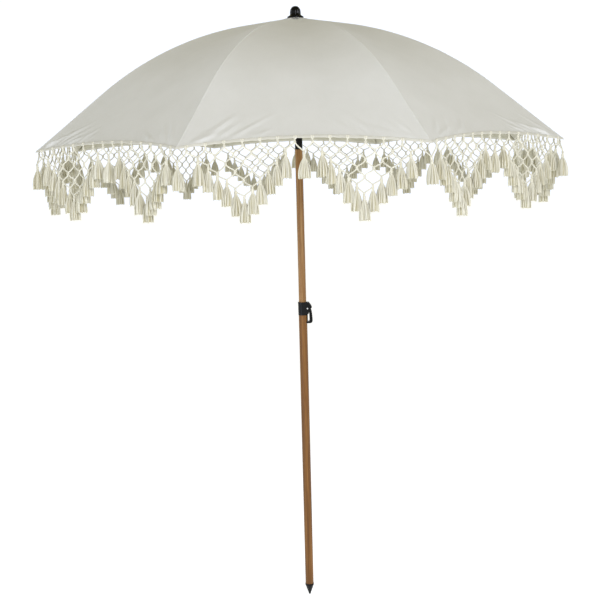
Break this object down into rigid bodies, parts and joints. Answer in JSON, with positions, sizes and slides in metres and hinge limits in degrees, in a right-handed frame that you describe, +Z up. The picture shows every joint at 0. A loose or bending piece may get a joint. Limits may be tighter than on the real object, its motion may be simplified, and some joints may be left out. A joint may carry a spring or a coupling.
{
  "type": "beach umbrella",
  "caption": "Beach umbrella with a ribbed domed canopy, knotted fringe with tassels, two-part pole with lever clamp, tilt joint and ground spike.",
  "frame": {"origin": "tip of the ground spike, on the pole's axis", "axes": "+Z up the pole; the flat middle of one canopy panel faces -Y; the clamp's lever is on the +X side"},
  "size_m": [1.7738, 1.7738, 2.262],
  "materials": {
    "oak_print": "satin wood-grain print on steel tube",
    "black_plastic": "gloss black",
    "steel": "bright zinc",
    "rib_steel": "cream powder coat on steel",
    "canopy_cloth": "off-white woven polyester",
    "fringe_cotton": "cream twisted cotton cord"
  },
  "bodies": {
    "base": {"ground_spike": "black_plastic", "lower_pole": "oak_print", "clamp_collar": "black_plastic", "clamp_pin": "steel"},
    "clamp_lever": {"clamp_lever": "black_plastic"},
    "mast": {"upper_pole": "oak_print", "pole_guide_bush": "black_plastic", "tilt_socket": "black_plastic", "tilt_pin": "steel", "tilt_spring": "steel"},
    "tilt_button": {"tilt_button": "black_plastic"},
    "head": {"tilt_knuckle": "black_plastic", "top_pole": "oak_print", "crown_hub": "black_plastic", "crown_wire": "steel", "top_patch": "canopy_cloth", "finial": "black_plastic"},
    "runner": {"runner": "black_plastic", "runner_wire": "steel"},
    "runner_button": {"runner_button": "black_plastic"},
    "rib_1": {"rib_1": "rib_steel", "rib_tip_1": "black_plastic", "canopy_1": "canopy_cloth"},
    "fringe_1": {"fringe_1": "fringe_cotton"},
    "stretcher_1": {"stretcher_1": "rib_steel"},
    "rib_2": {"rib_2": "rib_steel", "rib_tip_2": "black_plastic", "canopy_2": "canopy_cloth"},
    "fringe_2": {"fringe_2": "fringe_cotton"},
    "stretcher_2": {"stretcher_2": "rib_steel"},
    "rib_3": {"rib_3": "rib_steel", "rib_tip_3": "black_plastic", "canopy_3": "canopy_cloth"},
    "fringe_3": {"fringe_3": "fringe_cotton"},
    "stretcher_3": {"stretcher_3": "rib_steel"},
    "rib_4": {"rib_4": "rib_steel", "rib_tip_4": "black_plastic", "canopy_4": "canopy_cloth"},
    "fringe_4": {"fringe_4": "fringe_cotton"},
    "stretcher_4": {"stretcher_4": "rib_steel"},
    "rib_5": {"rib_5": "rib_steel", "rib_tip_5": "black_plastic", "canopy_5": "canopy_cloth"},
    "fringe_5": {"fringe_5": "fringe_cotton"},
    "stretcher_5": {"stretcher_5": "rib_steel"},
    "rib_6": {"rib_6": "rib_steel", "rib_tip_6": "black_plastic", "canopy_6": "canopy_cloth"},
    "fringe_6": {"fringe_6": "fringe_cotton"},
    "stretcher_6": {"stretcher_6": "rib_steel"},
    "rib_7": {"rib_7": "rib_steel", "rib_tip_7": "black_plastic", "canopy_7": "canopy_cloth"},
    "fringe_7": {"fringe_7": "fringe_cotton"},
    "stretcher_7": {"stretcher_7": "rib_steel"},
    "rib_8": {"rib_8": "rib_steel", "rib_tip_8": "black_plastic", "canopy_8": "canopy_cloth"},
    "fringe_8": {"fringe_8": "fringe_cotton"},
    "stretcher_8": {"stretcher_8": "rib_steel"}
  },
  "joints": [
    {"name": "height_slide", "type": "slide", "parent": "base", "child": "mast", "axis": [0, 0, -1], "range_m": [0, 0.55]},
    {"name": "clamp_lever_swing", "type": "hinge", "parent": "base", "child": "clamp_lever", "pos_m": [0.0175, 0, 1.146], "axis": [0, -1, 0], "range_deg": [0, 85]},
    {"name": "canopy_tilt", "type": "hinge", "parent": "mast", "child": "head", "pos_m": [0, 0, 1.815], "axis": [0, -1, 0], "range_deg": [0, 35]},
    {"name": "tilt_button_press", "type": "slide", "parent": "mast", "child": "tilt_button", "axis": [0, 1, 0], "range_m": [0, 0.0025], "stiffness_N_per_m": 400, "springref_m": -0.001, "deforming": ["tilt_spring"]},
    {"name": "runner_button_press", "type": "slide", "parent": "runner", "child": "runner_button", "axis": [0, 1, 0], "range_m": [0, 0.003], "stiffness_N_per_m": 400, "springref_m": -0.001},
    {"name": "canopy_fold", "type": "hinge", "parent": "head", "child": "rib_1", "pos_m": [0.02587, 0.01072, 2.20467], "axis": [0.3827, -0.9239, 0], "range_deg": [-59, 0], "deforming": ["canopy_1"]},
    {"name": "stretcher_swing_1", "type": "hinge", "parent": "rib_1", "child": "stretcher_1", "pos_m": [0.40154, 0.16632, 2.10491], "axis": [0.3827, -0.9239, 0], "range_deg": [0, 118]},
    {"name": "fringe_hang_1", "type": "hinge", "parent": "rib_1", "child": "fringe_1", "pos_m": [0.88692, 0.36738, 1.7614], "axis": [0.3827, -0.9239, 0], "range_deg": [0, 59], "deforming": ["fringe_1"]},
    {"name": "runner_level", "type": "hinge", "parent": "stretcher_1", "child": "runner", "pos_m": [0.02587, 0.01072, 2.00515], "axis": [0.3827, -0.9239, 0], "range_deg": [-59, 0]},
    {"name": "rib_fold_2", "type": "hinge", "parent": "head", "child": "rib_2", "pos_m": [0.01072, 0.02587, 2.20467], "axis": [0.9239, -0.3827, 0], "range_deg": [-59, 0], "deforming": ["canopy_2"]},
    {"name": "stretcher_swing_2", "type": "hinge", "parent": "rib_2", "child": "stretcher_2", "pos_m": [0.16632, 0.40154, 2.10491], "axis": [0.9239, -0.3827, 0], "range_deg": [0, 118]},
    {"name": "fringe_hang_2", "type": "hinge", "parent": "rib_2", "child": "fringe_2", "pos_m": [0.36738, 0.88692, 1.7614], "axis": [0.9239, -0.3827, 0], "range_deg": [0, 59], "deforming": ["fringe_2"]},
    {"name": "rib_fold_3", "type": "hinge", "parent": "head", "child": "rib_3", "pos_m": [-0.01072, 0.02587, 2.20467], "axis": [0.9239, 0.3827, 0], "range_deg": [-59, 0], "deforming": ["canopy_3"]},
    {"name": "stretcher_swing_3", "type": "hinge", "parent": "rib_3", "child": "stretcher_3", "pos_m": [-0.16632, 0.40154, 2.10491], "axis": [0.9239, 0.3827, 0], "range_deg": [0, 118]},
    {"name": "fringe_hang_3", "type": "hinge", "parent": "rib_3", "child": "fringe_3", "pos_m": [-0.36738, 0.88692, 1.7614], "axis": [0.9239, 0.3827, 0], "range_deg": [0, 59], "deforming": ["fringe_3"]},
    {"name": "rib_fold_4", "type": "hinge", "parent": "head", "child": "rib_4", "pos_m": [-0.02587, 0.01072, 2.20467], "axis": [0.3827, 0.9239, 0], "range_deg": [-59, 0], "deforming": ["canopy_4"]},
    {"name": "stretcher_swing_4", "type": "hinge", "parent": "rib_4", "child": "stretcher_4", "pos_m": [-0.40154, 0.16632, 2.10491], "axis": [0.3827, 0.9239, 0], "range_deg": [0, 118]},
    {"name": "fringe_hang_4", "type": "hinge", "parent": "rib_4", "child": "fringe_4", "pos_m": [-0.88692, 0.36738, 1.7614], "axis": [0.3827, 0.9239, 0], "range_deg": [0, 59], "deforming": ["fringe_4"]},
    {"name": "rib_fold_5", "type": "hinge", "parent": "head", "child": "rib_5", "pos_m": [-0.02587, -0.01072, 2.20467], "axis": [-0.3827, 0.9239, 0], "range_deg": [-59, 0], "deforming": ["canopy_5"]},
    {"name": "stretcher_swing_5", "type": "hinge", "parent": "rib_5", "child": "stretcher_5", "pos_m": [-0.40154, -0.16632, 2.10491], "axis": [-0.3827, 0.9239, 0], "range_deg": [0, 118]},
    {"name": "fringe_hang_5", "type": "hinge", "parent": "rib_5", "child": "fringe_5", "pos_m": [-0.88692, -0.36738, 1.7614], "axis": [-0.3827, 0.9239, 0], "range_deg": [0, 59], "deforming": ["fringe_5"]},
    {"name": "rib_fold_6", "type": "hinge", "parent": "head", "child": "rib_6", "pos_m": [-0.01072, -0.02587, 2.20467], "axis": [-0.9239, 0.3827, 0], "range_deg": [-59, 0], "deforming": ["canopy_6"]},
    {"name": "stretcher_swing_6", "type": "hinge", "parent": "rib_6", "child": "stretcher_6", "pos_m": [-0.16632, -0.40154, 2.10491], "axis": [-0.9239, 0.3827, 0], "range_deg": [0, 118]},
    {"name": "fringe_hang_6", "type": "hinge", "parent": "rib_6", "child": "fringe_6", "pos_m": [-0.36738, -0.88692, 1.7614], "axis": [-0.9239, 0.3827, 0], "range_deg": [0, 59], "deforming": ["fringe_6"]},
    {"name": "rib_fold_7", "type": "hinge", "parent": "head", "child": "rib_7", "pos_m": [0.01072, -0.02587, 2.20467], "axis": [-0.9239, -0.3827, 0], "range_deg": [-59, 0], "deforming": ["canopy_7"]},
    {"name": "stretcher_swing_7", "type": "hinge", "parent": "rib_7", "child": "stretcher_7", "pos_m": [0.16632, -0.40154, 2.10491], "axis": [-0.9239, -0.3827, 0], "range_deg": [0, 118]},
    {"name": "fringe_hang_7", "type": "hinge", "parent": "rib_7", "child": "fringe_7", "pos_m": [0.36738, -0.88692, 1.7614], "axis": [-0.9239, -0.3827, 0], "range_deg": [0, 59], "deforming": ["fringe_7"]},
    {"name": "rib_fold_8", "type": "hinge", "parent": "head", "child": "rib_8", "pos_m": [0.02587, -0.01072, 2.20467], "axis": [-0.3827, -0.9239, 0], "range_deg": [-59, 0], "deforming": ["canopy_8"]},
    {"name": "stretcher_swing_8", "type": "hinge", "parent": "rib_8", "child": "stretcher_8", "pos_m": [0.40154, -0.16632, 2.10491], "axis": [-0.3827, -0.9239, 0], "range_deg": [0, 118]},
    {"name": "fringe_hang_8", "type": "hinge", "parent": "rib_8", "child": "fringe_8", "pos_m": [0.88692, -0.36738, 1.7614], "axis": [-0.3827, -0.9239, 0], "range_deg": [0, 59], "deforming": ["fringe_8"]}
  ],
  "couplings": [
    {"joint": "stretcher_swing_1", "follows": "canopy_fold", "ratio": -2},
    {"joint": "fringe_hang_1", "follows": "canopy_fold", "ratio": -1},
    {"joint": "runner_level", "follows": "canopy_fold", "ratio": 1},
    {"joint": "rib_fold_2", "follows": "canopy_fold", "ratio": 1},
    {"joint": "stretcher_swing_2", "follows": "canopy_fold", "ratio": -2},
    {"joint": "fringe_hang_2", "follows": "canopy_fold", "ratio": -1},
    {"joint": "rib_fold_3", "follows": "canopy_fold", "ratio": 1},
    {"joint": "stretcher_swing_3", "follows": "canopy_fold", "ratio": -2},
    {"joint": "fringe_hang_3", "follows": "canopy_fold", "ratio": -1},
    {"joint": "rib_fold_4", "follows": "canopy_fold", "ratio": 1},
    {"joint": "stretcher_swing_4", "follows": "canopy_fold", "ratio": -2},
    {"joint": "fringe_hang_4", "follows": "canopy_fold", "ratio": -1},
    {"joint": "rib_fold_5", "follows": "canopy_fold", "ratio": 1},
    {"joint": "stretcher_swing_5", "follows": "canopy_fold", "ratio": -2},
    {"joint": "fringe_hang_5", "follows": "canopy_fold", "ratio": -1},
    {"joint": "rib_fold_6", "follows": "canopy_fold", "ratio": 1},
    {"joint": "stretcher_swing_6", "follows": "canopy_fold", "ratio": -2},
    {"joint": "fringe_hang_6", "follows": "canopy_fold", "ratio": -1},
    {"joint": "rib_fold_7", "follows": "canopy_fold", "ratio": 1},
    {"joint": "stretcher_swing_7", "follows": "canopy_fold", "ratio": -2},
    {"joint": "fringe_hang_7", "follows": "canopy_fold", "ratio": -1},
    {"joint": "rib_fold_8", "follows": "canopy_fold", "ratio": 1},
    {"joint": "stretcher_swing_8", "follows": "canopy_fold", "ratio": -2},
    {"joint": "fringe_hang_8", "follows": "canopy_fold", "ratio": -1}
  ]
}
